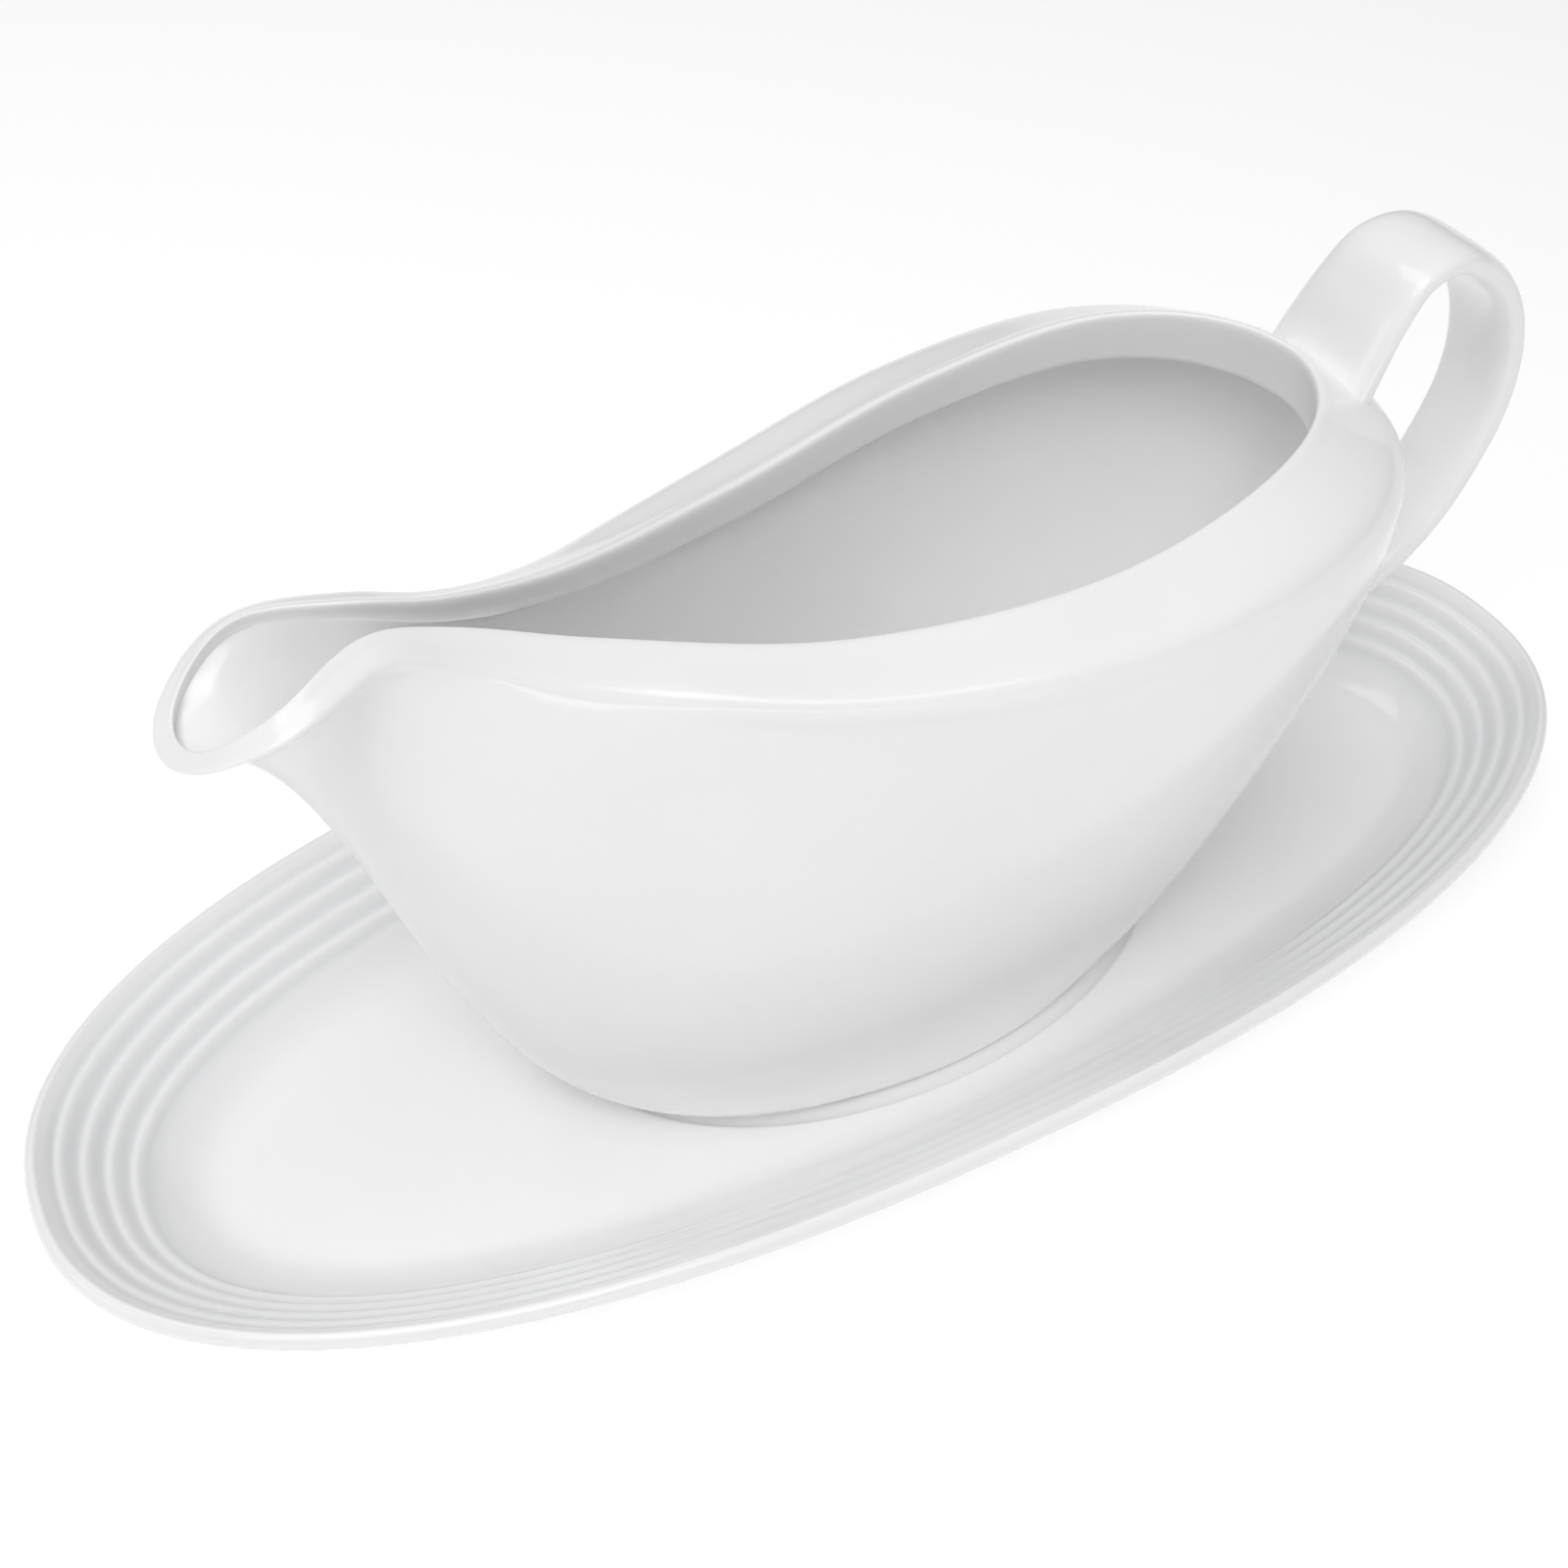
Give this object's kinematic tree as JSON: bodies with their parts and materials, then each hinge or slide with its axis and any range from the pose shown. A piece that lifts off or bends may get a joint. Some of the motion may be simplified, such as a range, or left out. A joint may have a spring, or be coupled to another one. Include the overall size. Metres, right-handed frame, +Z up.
{
  "type": "gravy boat with saucer",
  "caption": "Glazed porcelain gravy boat with a pinched pouring spout and a strap handle, standing loose on a long oval saucer with a ribbed wall.",
  "frame": {"origin": "centre of the saucer's foot, on the table", "axes": "+Z up; +X along the boat towards its handle, so the spout points to -X; +Y to the left of someone looking from the spout to the handle"},
  "size_m": [0.23, 0.096, 0.1009],
  "materials": {
    "saucer_glaze": "glossy white glaze",
    "boat_glaze": "glossy white glaze",
    "handle_glaze": "glossy white glaze"
  },
  "bodies": {
    "saucer": {"saucer": "saucer_glaze"},
    "boat": {"boat_body": "boat_glaze", "boat_handle": "handle_glaze"}
  },
  "joints": [
    {"name": "boat_lift", "type": "slide", "parent": "saucer", "child": "boat", "axis": [0, 0, 1], "range_m": [0, 0.12]}
  ]
}
